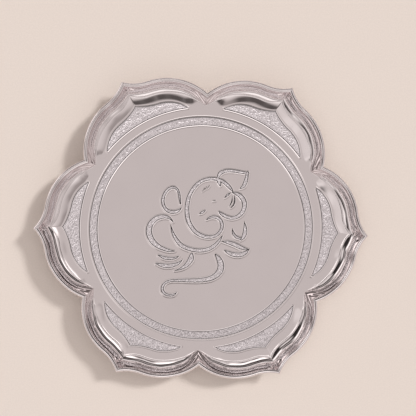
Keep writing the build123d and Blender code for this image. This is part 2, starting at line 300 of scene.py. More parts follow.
class Ogee:
    """Half of a petal's line: a hollow nib arc from its tip, then a round shoulder arc to its end."""

    def __init__(self, tip_radius, end_radius, end_turn, tip_half_angle, end_lean, nib_reach):
        tip = complex(tip_radius)
        end = end_radius * ray(end_turn)
        tip_way = ray(pi - tip_half_angle)
        end_way = ray(pi - end_lean)
        span = end - tip
        shoulder_reach = (abs(span) ** 2 - 2 * nib_reach * dot(span, tip_way)) / (
            2 * dot(span, end_way) + 2 * nib_reach * (1 - dot(tip_way, end_way))
        )
        nib_corner = tip + tip_way * nib_reach
        between = end - end_way * shoulder_reach - nib_corner
        self.join = nib_corner + between / abs(between) * nib_reach
        self.nib_centre = arc_centre(tip, tip_way, self.join)
        self.shoulder_centre = arc_centre(end, end_way, self.join)
        self.nib_radius = abs(tip - self.nib_centre)
        self.shoulder_radius = abs(end - self.shoulder_centre)

    def radius(self, turns, inset=0.0):
        """Distance from the axis at each turn, for the line moved inward by an inset."""
        heading = np.exp(-1j * np.abs(turns))
        nib = self.nib_centre * heading
        shoulder = self.shoulder_centre * heading
        nib_size = self.nib_radius + inset
        shoulder_size = self.shoulder_radius - inset
        on_nib = nib.real - np.sqrt(np.maximum(nib_size**2 - nib.imag**2, 0))
        on_shoulder = shoulder.real + np.sqrt(np.maximum(shoulder_size**2 - shoulder.imag**2, 0))
        join = self.nib_centre + (self.join - self.nib_centre) * nib_size / self.nib_radius
        return np.where(np.abs(turns) < np.angle(join), on_nib, on_shoulder)

    def crossing(self, radius, inset=0.0):
        """The turn at which the shoulder, moved inward, crosses a circle about the axis."""
        far = abs(self.shoulder_centre)
        size_there = self.shoulder_radius - inset
        share = (far**2 + radius**2 - size_there**2) / (2 * far * radius)
        return np.angle(self.shoulder_centre) + acos(share)


class TrayLines:
    """The lines of one petal, worked out from the scene's settings."""

    # Mesh columns over half a petal: as far as its panel's horn, and from there to the cusp
    inner_steps = 64
    outer_steps = 40
    # Softening of the margin's dish at the horns, near the cusps and beside the panel
    soft_horn = 2 * MM
    least_span = 0.2 * MM
    cusp_fade = radians(7)
    margin_bend = 0.12

    def __init__(self, scene):
        outline = scene.thali_outline
        pattern = scene.thali_pattern
        self.count = outline.count
        self.half_turn = pi / self.count
        self.ring_outer = pattern.ring_edge + pattern.seat_gap
        self.panel_radius = self.ring_outer + pattern.petal_band
        self.sunk_depth = scene.thali_section.floor_top - pattern.sunk_top
        cusp_radius = outline.tip_radius - outline.depth
        foot_tip = outline.tip_radius - outline.tip_wall_reach
        self.rim = Ogee(
            outline.tip_radius, cusp_radius, self.half_turn,
            outline.tip_half_angle, outline.cusp_lean, outline.nib_reach,
        )
        self.foot = Ogee(
            foot_tip, cusp_radius - outline.cusp_wall_reach, self.half_turn,
            outline.foot_tip_half_angle, outline.foot_cusp_lean, outline.foot_nib_reach,
        )
        self.panel = Ogee(
            foot_tip - pattern.tip_margin, self.panel_radius, pattern.panel_half_turn,
            pattern.panel_tip_half_angle, pattern.panel_end_lean, pattern.panel_nib_reach,
        )
        self.horn = self.panel.crossing(self.panel_radius + pattern.edge_roll, pattern.edge_roll)
        self.window = self.panel_radius + pattern.edge_roll

    def turns(self):
        """Turns of the mesh columns over one petal, with columns on the tip, the horns and the cusps."""
        half = np.concatenate((
            np.linspace(0, self.horn, self.inner_steps + 1),
            np.linspace(self.horn, self.half_turn, self.outer_steps + 1)[1:],
        ))
        return np.concatenate((-half[:0:-1], half))

    def petals(self):
        """The number of each petal and its turn from +X."""
        return [(index + 1, 2 * self.half_turn * index) for index in range(self.count)]


def dished(scene, lines, turns, radii):
    """Rise of the margin: a quick bend beside the panel, then steadily steeper out to the wall."""
    section = scene.thali_section
    panel = lines.panel.radius(turns) - lines.window
    begin = lines.window + (panel + np.sqrt(panel**2 + lines.soft_horn**2)) / 2
    span = np.maximum(lines.foot.radius(turns) - begin, 0)
    across = np.clip((radii - begin) / np.maximum(span, lines.least_span), 0, 1)
    start = np.tan(section.margin_start)
    more = np.tan(section.margin_end) - start
    bend = lines.margin_bend
    bent = np.where(across < bend, across**2 / (2 * bend), across - bend / 2)
    fade = eased((lines.half_turn - np.abs(turns)) / lines.cusp_fade)
    return fade * span * (start * bent + more * across**2 / 2)


def bead(height, width, distance):
    """Rise of a rounded bead that lies between no distance and its width."""
    return height * np.sin(pi * np.clip(distance / width, 0, 1)) ** 2


def lip(pattern, outside):
    """Rise of the rolled lip at each distance outside a sunk field."""
    return bead(pattern.lip_height, pattern.lip_width, outside)


def cove(scene, lifts):
    """For each share of the wall's height, the share of its reach: a cove that steepens upwards."""
    section = scene.thali_section
    start = cos(section.foot_slope)
    slopes = np.arccos(start - np.asarray(lifts) * (start - cos(section.lip_slope)))
    reach = np.sin(slopes) - sin(section.foot_slope)
    return reach / (sin(section.lip_slope) - sin(section.foot_slope)), slopes


def eased(share):
    """A smooth step from 0 to 1."""
    share = np.clip(share, 0, 1)
    return share * share * (3 - 2 * share)


def plan_points(radii, turns, heights):
    """Points of a grid from radii, turns and heights, each broadcast to the grid."""
    radii, turns, heights = np.broadcast_arrays(radii, turns, heights)
    return np.stack((radii * np.cos(turns), radii * np.sin(turns), heights), axis=-1)


def turned(points, turn):
    """Points turned about the tray's axis."""
    spin = np.array(((cos(turn), sin(turn), 0), (-sin(turn), cos(turn), 0), (0, 0, 1)))
    return points @ spin


def noise_at(points, spacing, seed):
    """Smooth noise from -1 to 1 at each point of a grid."""
    flat = np.asarray(points).reshape(-1, 3) / spacing
    drift = Vector((seed, -seed, seed))
    values = [noise.noise(Vector(point) + drift) for point in flat]
    return np.array(values).reshape(np.asarray(points).shape[:-1])


def grain_at(points, spacing):
    """The struck grain from -1 to 1: small pits with ridges between them."""
    flat = np.asarray(points).reshape(-1, 3) / spacing
    nearest = [noise.voronoi(Vector(point))[0][0] for point in flat]
    return 2 * np.array(nearest).reshape(np.asarray(points).shape[:-1]) - 1


def closed_below(rows, base=None):
    """A sheet's rows carried down its outer edge, back under it at a base level and up to its start."""
    under = rows[[-1, 0]].copy()
    if base is not None:
        under[..., 2] = base
    return np.concatenate((rows, under, rows[:1]))


def pits(grain):
    """How deep in a pit each point of the grain lies, 0 to 1."""
    return np.clip((1 - grain) / 2, 0, 1)


class Skin:
    """Points and faces of one mesh, gathered strip by strip."""

    weld = 1e-6

    def __init__(self):
        self.points = []
        self.faces = []
        self.marks = {"sink": [], "pit": []}
        self.count = 0

    def strip(self, rows, sink=0.0, pit=0.0):
        """A grid of quads, with how far each point is pressed down and how deep in a pit, 0 to 1."""
        rows = np.asarray(rows)
        high, wide = rows.shape[:2]
        index = self.count + np.arange(high * wide).reshape(high, wide)
        corners = (index[:-1, :-1], index[1:, :-1], index[1:, 1:], index[:-1, 1:])
        self.faces.append(np.stack(corners, axis=-1).reshape(-1, 4))
        self.points.append(rows.reshape(-1, 3))
        for name, share in (("sink", sink), ("pit", pit)):
            self.marks[name].append(np.broadcast_to(share, (high, wide)).reshape(-1))
        self.count += high * wide

    def piece(self, name, finish, slot, nodes, crease=35, base=None):
        """The finished piece: welded, closed down to a base level if one is given, and placed."""
        scene = bpy.context.scene
        mesh = bpy.data.meshes.new(name)
        mesh.from_pydata(np.concatenate(self.points).tolist(), [], np.concatenate(self.faces).tolist())
        for mark, shares in self.marks.items():
            marked = mesh.attributes.new(mark, "FLOAT", "POINT")
            marked.data.foreach_set("value", np.concatenate(shares).astype(np.float32))
        body = bmesh.new()
        body.from_mesh(mesh)
        bmesh.ops.remove_doubles(body, verts=body.verts, dist=self.weld)
        if base is not None:
            grown = bmesh.ops.extrude_face_region(body, geom=body.faces[:], use_keep_orig=True)
            for part in grown["geom"]:
                if isinstance(part, bmesh.types.BMVert):
                    part.co.z = base
        bmesh.ops.recalc_face_normals(body, faces=body.faces)
        body.to_mesh(mesh)
        body.free()
        mesh.shade_smooth()
        mesh.set_sharp_from_angle(angle=radians(crease))
        mesh.materials.append(plated(scene, finish))
        piece = bpy.data.objects.new(name, mesh)
        scene.collection.objects.link(piece)
        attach(piece, "root")
        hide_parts(*nodes)


def faded(across, edge_share):
    """1 over a sheet's middle, falling to 0 at its two edges over a share of its width."""
    return eased(across / edge_share) * eased((1 - across) / edge_share)


def grained_piece(scene, name, nodes, rows, fade):
    """A sunk sheet with its struck grain, closed down to the base sheet."""
    pattern = scene.thali_pattern
    grain = grain_at(rows, pattern.grain_size)
    rows[..., 2] += pattern.grain_height * fade * grain
    skin = Skin()
    skin.strip(closed_below(rows, scene.thali_section.base_top), pit=closed_below(pits(grain)))
    skin.piece(name, "stippled_finish", "stippled_plate", nodes, crease=70)


class Nodes:
    """Short calls for the nodes of one tree."""

    def __init__(self, tree):
        self.tree = tree

    def node(self, kind, **settings):
        """A new node with its settings."""
        made = self.tree.nodes.new(kind)
        for key, value in settings.items():
            setattr(made, key, value)
        return made

    def feed(self, socket, value):
        """Give a socket a number or colour, or join an output to it."""
        if isinstance(value, bpy.types.NodeSocket):
            self.tree.links.new(value, socket)
        else:
            socket.default_value = value

    def step(self, kind, operation, *values):
        """One step of arithmetic on numbers, directions or outputs."""
        made = self.node(kind, operation=operation)
        for socket, value in zip(made.inputs, values):
            self.feed(socket, value)
        return made

    def spread(self, value, low, high, start=0.35, end=0.65, **settings):
        """A value that runs from a start to an end, spread between two numbers."""
        ranged = self.node("ShaderNodeMapRange", **settings)
        self.feed(ranged.inputs["Value"], value)
        limits = {"From Min": start, "From Max": end, "To Min": low, "To Max": high}
        for socket, number in limits.items():
            ranged.inputs[socket].default_value = number
        return ranged.outputs["Result"]

    def ramp(self, value, stops):
        """The colour at a value, between stops that each give a place from 0 to 1 and a colour."""
        ramp = self.node("ShaderNodeValToRGB")
        elements = ramp.color_ramp.elements
        while len(elements) < len(stops):
            elements.new(1.0)
        for element, (place, shade) in zip(elements, stops):
            element.position = place
            element.color = shade
        self.feed(ramp.inputs["Fac"], value)
        return ramp.outputs["Color"]

    def mixed(self, share, one, other, kind):
        """A mix of two colours or numbers, each a value or an output."""
        mix = self.node("ShaderNodeMix", data_type=kind)
        sides = [socket for socket in mix.inputs if socket.enabled and socket.name in "AB"]
        self.feed(mix.inputs["Factor"], share)
        for socket, value in zip(sides, (one, other)):
            self.feed(socket, value)
        return next(socket for socket in mix.outputs if socket.enabled)


class Shading(Nodes):
    """A material's nodes, with the noise, relief and surface that the finishes share."""

    def __init__(self, name, metallic=1.0):
        self.material = bpy.data.materials.new(name)
        self.material.use_nodes = True
        super().__init__(self.material.node_tree)
        self.shader = self.tree.nodes["Principled BSDF"]
        self.shader.inputs["Metallic"].default_value = metallic
        self.place = self.node("ShaderNodeTexCoord").outputs["Object"]

    def noise(self, scale, detail, stretch=(1, 1, 1), turn=0.0):
        """Noise over the object, stretched along one of its directions."""
        mapping = self.node("ShaderNodeMapping")
        mapping.inputs["Scale"].default_value = stretch
        mapping.inputs["Rotation"].default_value = (0, 0, turn)
        texture = self.node("ShaderNodeTexNoise")
        texture.inputs["Scale"].default_value = scale
        texture.inputs["Detail"].default_value = detail
        self.feed(mapping.inputs["Vector"], self.place)
        self.feed(texture.inputs["Vector"], mapping.outputs["Vector"])
        return texture.outputs["Fac"]

    def mark(self, name):
        """A share that the mesh holds at each point."""
        return self.node("ShaderNodeAttribute", attribute_name=name).outputs["Fac"]

    def blend(self, value, one, other, start=0.36, end=0.64):
        """A colour that a value carries from one colour to another."""
        return self.ramp(value, ((start, (*one, 1)), (end, (*other, 1))))

    def bump(self, value, strength, distance, under=None):
        """Fine relief on the surface."""
        relief = self.node("ShaderNodeBump")
        self.feed(relief.inputs["Strength"], strength)
        relief.inputs["Distance"].default_value = distance
        self.feed(relief.inputs["Height"], value)
        if under is not None:
            self.feed(relief.inputs["Normal"], under)
        return relief.outputs["Normal"]

    def surface(self, colour, roughness, relief=None):
        """Give the shader its colour, its roughness and its fine relief."""
        self.feed(self.shader.inputs["Base Color"], colour)
        self.feed(self.shader.inputs["Roughness"], roughness)
        if relief is not None:
            self.feed(self.shader.inputs["Normal"], relief)


def darker(rgb, share):
    """A colour at a share of its brightness."""
    return [share * part for part in rgb]


def hazed(plate, finish):
    """Colour of the polish, clear in places and hazed in others."""
    return plate.blend(plate.noise(scale=38, detail=4), finish.polished_dull, finish.polished)


def wiped(plate, finish):
    """Fine wiping marks of the polish, and the roughness that they leave."""
    marks = plate.noise(scale=260, detail=5, stretch=(1, 0.05, 1), turn=radians(24))
    mean = finish.polished_roughness
    return marks, plate.spread(marks, low=mean * 0.7, high=mean * 1.4)


def pit_shaded(plate, finish):
    """Colour of the struck grain, with painted shade darkening its pits."""
    return plate.blend(plate.mark("pit"), finish.stippled, finish.stippled_pit_shade)


def polished_plate(plate, finish):
    """Mirror-polished plate with haze and fine wiping marks."""
    marks, rough = wiped(plate, finish)
    waves = plate.bump(plate.noise(scale=70, detail=1), strength=0.06, distance=0.4 * MM)
    relief = plate.bump(marks, strength=0.05, distance=0.05 * MM, under=waves)
    plate.surface(hazed(plate, finish), rough, relief)


def worked_plate(plate, finish):
    """Polished plate whose pressed-in lines have painted shade on their rolled edges and are grained
    inside.
    """
    sink = plate.mark("sink")
    # Painted shade along the rolled edges, placed by the sink mark; deeper in, the grain takes over
    shaded_edge = plate.spread(sink, low=0, high=1, start=0.1, end=0.28)
    inside = plate.spread(sink, low=0, high=1, start=0.84, end=0.98)
    darkened = plate.mixed(shaded_edge, hazed(plate, finish), (*finish.sunk_edge_shade, 1), "RGBA")
    shade = plate.mixed(inside, darkened, pit_shaded(plate, finish), "RGBA")
    marks, polish = wiped(plate, finish)
    dulled = plate.mixed(shaded_edge, polish, finish.sunk_edge_shade_roughness, "FLOAT")
    rough = plate.mixed(inside, dulled, finish.stippled_roughness, "FLOAT")
    wiping = plate.bump(marks, strength=0.05, distance=0.05 * MM)
    grain = plate.noise(scale=1500, detail=2)
    relief = plate.bump(grain, strength=inside, distance=0.15 * MM, under=wiping)
    plate.surface(shade, rough, relief)


def stippled_plate(plate, finish):
    """Bright plate with a struck grain and painted shade in its pits."""
    mean = finish.stippled_roughness
    grain = plate.noise(scale=1500, detail=2)
    rough = plate.spread(grain, low=mean * 1.3, high=mean * 0.7)
    relief = plate.bump(grain, strength=0.5, distance=0.15 * MM)
    plate.surface(pit_shaded(plate, finish), rough, relief)


def satin_sheet(sheet, finish):
    """Plain satin sheet of the underside, with a rolled grain and faint stains."""
    mean = finish.satin_roughness
    stains = sheet.noise(scale=24, detail=5)
    shade = sheet.blend(stains, darker(finish.satin, share=0.82), finish.satin)
    rolled = sheet.noise(scale=180, detail=6, stretch=(0.03, 1, 1))
    rough = sheet.spread(rolled, low=mean * 0.8, high=mean * 1.25)
    relief = sheet.bump(rolled, strength=0.2, distance=0.05 * MM)
    sheet.surface(shade, rough, relief)


FINISHES = {
    "polished_finish": polished_plate,
    "worked_finish": worked_plate,
    "stippled_finish": stippled_plate,
    "satin_finish": satin_sheet,
}


def plated(scene, name):
    """A finish's material, made once and shared by the pieces that use it."""
    if name not in bpy.data.materials:
        FINISHES[name](Shading(name), scene.thali_finish)
    return bpy.data.materials[name]


class THALI_OT_base_plate(Operator):
    """Finish the flat base sheet in plain satin plate"""

    bl_idname = "thali.base_plate"
    bl_label = "Base Plate"

    def execute(self, context):
        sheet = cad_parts["base_plate"]
        sheet.data.materials.clear()
        sheet.data.materials.append(plated(context.scene, "satin_finish"))
        return {"FINISHED"}


class THALI_OT_petal_margins(Operator):
    """Make the polished margins between the ring, the panels and the walls"""

    bl_idname = "thali.petal_margins"
    bl_label = "Petal Margins"

    band_rows = 6
    margin_rows = 14
    crease_rows = 7
    roll_rows = 5
    lip_rows = 7
    row_step = 0.04 * MM
    horn_bluntness = 0.8

    def execute(self, context):
        scene = context.scene
        section = scene.thali_section
        pattern = scene.thali_pattern
        lines = TrayLines(scene)
        turns = lines.turns()
        roll = pattern.edge_roll
        rolled = roll * np.linspace(0, 1, self.roll_rows)
        lipped = pattern.lip_width * np.linspace(0, 1, self.lip_rows)
        ring_lip = lines.ring_outer + roll
        horn_end = roll - (np.abs(turns) - lines.horn) * lines.window * self.horn_bluntness

        def pressed(radii):
            """How far past the edge of a panel each point lies, and how far it is pressed down."""
            past_edge = np.minimum(radii - lines.panel_radius, lines.panel.radius(turns) - radii)
            past_edge = np.minimum(past_edge, horn_end)
            return past_edge, eased(past_edge / roll)

        band_radii = np.concatenate((
            lines.ring_outer + rolled,
            ring_lip + lipped[1:],
            np.linspace(ring_lip + lipped[-1], lines.panel_radius - lipped[-1], self.band_rows)[1:-1],
            lines.panel_radius - lipped[::-1],
            lines.panel_radius + rolled[1:],
        ))[:, None]
        past_edge, panel_sink = pressed(band_radii)
        band_sink = np.maximum(panel_sink, eased((ring_lip - band_radii) / roll))
        band_lips = lip(pattern, band_radii - ring_lip) + lip(pattern, -past_edge)
        band_heights = section.floor_top - lines.sunk_depth * band_sink + band_lips
        band = plan_points(band_radii, turns, band_heights)

        insets = np.concatenate((rolled[::-1], -lipped[1:]))
        least = lines.window + np.arange(len(insets))[:, None] * self.row_step
        edge_radii = np.maximum([lines.panel.radius(turns, inset) for inset in insets], least)
        start = edge_radii[-1]
        foot = lines.foot.radius(turns)
        across = np.linspace(0, 1, self.margin_rows + 1)[1:, None]
        over_crease = np.linspace(1, 0, self.crease_rows + 1)[1:, None]
        crease_width = np.minimum(section.crease_width, (foot - start) / 2)
        crease_start = foot - crease_width
        margin_radii = np.concatenate((
            edge_radii,
            start + (crease_start - start) * across,
            foot - crease_width * over_crease,
        ))
        past_edge, margin_sink = pressed(margin_radii)
        crease_height = section.crease_height * crease_width / section.crease_width
        rise = dished(scene, lines, turns, margin_radii) + lip(pattern, -past_edge)
        rise += bead(crease_height, crease_width, foot - margin_radii)
        margin_heights = section.floor_top - lines.sunk_depth * margin_sink + rise
        margin = plan_points(margin_radii, turns, margin_heights)

        skin = Skin()
        for _, turn in lines.petals():
            skin.strip(turned(band, turn), band_sink)
            skin.strip(turned(margin, turn), margin_sink)
        skin.piece("petal_margins", "worked_finish", "polished_plate", ["petal_frame"],
                   base=section.base_top)
        return {"FINISHED"}


class THALI_OT_stippled_ring(Operator):
    """Make the sunk, grained ring round the floor"""

    bl_idname = "thali.stippled_ring"
    bl_label = "Stippled Ring"

    rows = 17
    columns = 1500
    edge_share = 0.25

    def execute(self, context):
        scene = context.scene
        pattern = scene.thali_pattern
        lines = TrayLines(scene)
        across = np.linspace(0, 1, self.rows)[:, None]
        radii = pattern.disc_radius + (lines.ring_outer - pattern.disc_radius) * across
        turns = np.linspace(0, 2 * pi, self.columns + 1)
        rows = plan_points(radii, turns, pattern.sunk_top)
        rows[:, -1] = rows[:, 0]
        grained_piece(scene, "grained_ring", ["stippled_ring"], rows, faded(across, self.edge_share))
        return {"FINISHED"}


class THALI_OT_crescent_panels(Operator):
    """Make the sunk, grained crescent of each petal"""

    bl_idname = "thali.crescent_panels"
    bl_label = "Crescent Panels"

    rows = 40
    columns = 250
    edge_share = 0.2

    def execute(self, context):
        scene = context.scene
        pattern = scene.thali_pattern
        lines = TrayLines(scene)
        turns = np.linspace(-lines.horn, lines.horn, self.columns + 1)
        across = np.linspace(0, 1, self.rows)[:, None]
        width = np.maximum(lines.panel.radius(turns, pattern.edge_roll) - lines.window, 0)
        fade = faded(across, self.edge_share) * eased(width / (2 * pattern.grain_size))
        flat = plan_points(lines.window + width * across, turns, pattern.sunk_top)
        for number, turn in lines.petals():
            rows = turned(flat, turn)
            grained_piece(scene, f"grained_crescent_{number}", [f"petal_panel_{number}"], rows, fade)
        return {"FINISHED"}


class THALI_OT_engraved_floor(Operator):
    """Make the round polished floor with its engraved figure"""

    bl_idname = "thali.engraved_floor"
    bl_label = "Engraved Floor"

    steps = 8
    plain_rows = 6
    plain_share = 0.99
    lip_rows = 7
    roll_rows = 5

    def path(self, stroke, scale):
        """A smooth run of x, y and width through a stroke's points, in metres."""
        points = np.array(stroke) * MM * scale
        run = [points[:1]]
        padded = np.concatenate((2 * points[:1] - points[1:2], points, 2 * points[-1:] - points[-2:-1]))
        share = np.linspace(0, 1, self.steps + 1)[1:, None]
        for before, start, end, after in zip(padded, padded[1:], padded[2:], padded[3:]):
            bend = 2 * before - 5 * start + 4 * end - after
            twist = 3 * start - before - 3 * end + after
            run.append(start + 0.5 * ((end - before) * share + bend * share**2 + twist * share**3))
        return np.concatenate(run)

    def outside(self, xs, ys, paths, border):
        """How far each grid point lies outside the nearest stroke, less than nothing inside it."""
        far = np.full((len(ys), len(xs)), border)
        for path in paths:
            for start, end in zip(path, path[1:]):
                x, y, width = start
                step_x, step_y, widening = end - start
                reach = max(width, end[2]) / 2 + border
                low = np.minimum(start, end) - reach
                high = np.maximum(start, end) + reach
                columns = slice(*np.searchsorted(xs, (low[0], high[0])))
                rows = slice(*np.searchsorted(ys, (low[1], high[1])))
                across = xs[columns][None, :] - x
                up = ys[rows][:, None] - y
                run = np.clip((across * step_x + up * step_y) / (step_x**2 + step_y**2), 0, 1)
                gap = np.hypot(across - run * step_x, up - run * step_y) - (width + widening * run) / 2
                far[rows, columns] = np.minimum(far[rows, columns], gap)
        return far

    def execute(self, context):
        scene = context.scene
        section = scene.thali_section
        pattern = scene.thali_pattern
        figure = scene.thali_figure
        scale = figure.height / figure.drawn_height
        depth = section.floor_top - pattern.sunk_top
        paths = [self.path(stroke, scale) for stroke in FIGURE_STROKES]
        drawn = np.concatenate(paths)
        low = (drawn[:, :2] - drawn[:, 2:] / 2).min(axis=0) - figure.border
        high = (drawn[:, :2] + drawn[:, 2:] / 2).max(axis=0) + figure.border
        xs = np.linspace(low[0], high[0], round((high[0] - low[0]) / figure.cell) + 1)
        ys = np.linspace(low[1], high[1], round((high[1] - low[1]) / figure.cell) + 1)
        outside = self.outside(xs, ys, paths, figure.border)
        sunk = eased(-outside / figure.edge_roll)
        grid = np.stack((*np.meshgrid(xs, ys), section.floor_top + lip(pattern, outside)), axis=-1)
        inked = sunk > 0
        grain = np.ones(sunk.shape)
        grain[inked] = grain_at(grid[inked], pattern.grain_size)
        grid[..., 2] -= sunk * (depth - pattern.grain_height * sunk * grain)

        border = np.concatenate((grid[0, :-1], grid[:-1, -1], grid[-1, :0:-1], grid[::-1, 0]))
        start = np.hypot(border[:, 0], border[:, 1])
        turns = np.arctan2(border[:, 1], border[:, 0])
        turn_edge = pattern.disc_radius - pattern.edge_roll
        lip_start = turn_edge - pattern.lip_width
        # Over the lip, round the rolled edge, down to the base sheet and back under to the axis
        edge_radii = np.concatenate((
            np.linspace(lip_start, turn_edge, self.lip_rows),
            np.linspace(turn_edge, pattern.disc_radius, self.roll_rows)[1:],
            (pattern.disc_radius, 0),
        ))
        radii = np.concatenate((
            start + (lip_start - start) * np.linspace(0, self.plain_share, self.plain_rows)[:, None],
            np.broadcast_to(edge_radii[:, None], (len(edge_radii), len(start))),
        ))
        edge_sink = eased((radii - turn_edge) / pattern.edge_roll)
        heights = section.floor_top - depth * edge_sink + lip(pattern, turn_edge - radii)
        heights[-2:] = section.base_top

        skin = Skin()
        skin.strip(np.swapaxes(grid, 0, 1), sunk.T, pits(grain).T)
        skin.strip(plan_points(radii, turns, heights), edge_sink)
        skin.piece("engraved_floor", "worked_finish", "polished_plate", ["centre_disc"], crease=60)
        return {"FINISHED"}


class THALI_OT_petal_walls(Operator):
    """Make the coved wall of each petal"""

    bl_idname = "thali.petal_walls"
    bl_label = "Petal Walls"

    inner_rows = 26
    outer_rows = 14
    ripple_spacing = 8 * MM
    dent_spacing = 2.4 * MM

    def execute(self, context):
        scene = context.scene
        section = scene.thali_section
        lines = TrayLines(scene)
        turns = lines.turns()
        brim = lines.rim.radius(turns, scene.thali_outline.rim_width)
        foot = lines.foot.radius(turns)
        inner_foot = section.floor_top + dished(scene, lines, turns, foot)

        def cove_rows(count, thickness, low):
            """Radii and heights of a cove's rows, set back by a thickness."""
            lifts = np.linspace(0, 1, count)[:, None]
            reach, slopes = cove(scene, lifts)
            back = thickness / np.sin(slopes)
            return foot + (brim - foot) * reach + back, low + (section.rim_bottom - low) * lifts

        inner_radii, inner_heights = cove_rows(self.inner_rows, 0, inner_foot)
        outer_low = np.full(turns.shape, section.floor_top)
        outer_radii, outer_heights = cove_rows(self.outer_rows, section.wall_sheet, outer_low)
        start = inner_radii[:1]
        radii = np.concatenate((start, inner_radii, outer_radii[::-1], outer_radii[:1], start))
        bottom = np.full((1, len(turns)), section.base_top)
        heights = np.concatenate((bottom, inner_heights, outer_heights[::-1], bottom, bottom))
        rise = section.rim_bottom - section.floor_top
        bowed = np.sin(pi * np.clip((heights - section.floor_top) / rise, 0, 1))
        for number, turn in lines.petals():
            rows = turned(plan_points(radii, turns, heights), turn)
            ripples = section.ripple * noise_at(rows, self.ripple_spacing, seed=number)
            dents = section.dent * noise_at(rows, self.dent_spacing, seed=number)
            uneven = bowed * (ripples + dents)
            rows = turned(plan_points(radii + uneven, turns, heights), turn)
            skin = Skin()
            skin.strip(rows)
            skin.piece(f"wall_of_petal_{number}", "polished_finish", "polished_plate",
                       [f"petal_wall_{number}"])
        return {"FINISHED"}


class THALI_OT_rim_wires(Operator):
    """Make the rounded rim wire of each petal"""

    bl_idname = "thali.rim_wires"
    bl_label = "Rim Wires"

    # The wire's section as a share of its width in from the outer edge, and a drop below its top
    section_corners = (
        (1.0, 1.0 * MM), (0.74, 0.45 * MM), (0.52, 0.06 * MM), (0.43, 0.0), (0.34, 0.05 * MM),
        (0.03, 0.82 * MM), (0.0, 1.3 * MM),
    )

    corner_cuts = 3
    cut_share = 0.25

    def softened(self, corners):
        """A line of points with its corners cut, again and again."""
        line = np.array(corners)
        for _ in range(self.corner_cuts):
            step = self.cut_share * np.diff(line, axis=0)
            near = line[:-1] + step
            far = line[1:] - step
            between = np.stack((near, far), axis=1).reshape(-1, 2)[1:-1]
            line = np.concatenate((line[:1], between, line[-1:]))
        return line

    def execute(self, context):
        scene = context.scene
        section = scene.thali_section
        width = scene.thali_outline.rim_width
        lines = TrayLines(scene)
        turns = lines.turns()
        corners = [(share * width, section.rim_top - drop) for share, drop in self.section_corners]
        inner_bottom = (width, section.rim_bottom)
        outer_bottom = (0, section.rim_bottom)
        profile = [*self.softened([inner_bottom, *corners, outer_bottom]), inner_bottom]
        rows = np.array([
            plan_points(lines.rim.radius(turns, inset), turns, height) for inset, height in profile
        ])
        for number, turn in lines.petals():
            skin = Skin()
            skin.strip(turned(rows, turn))
            skin.piece(f"rim_of_petal_{number}", "polished_finish", "rim_plate", [f"rim_wire_{number}"])
        return {"FINISHED"}


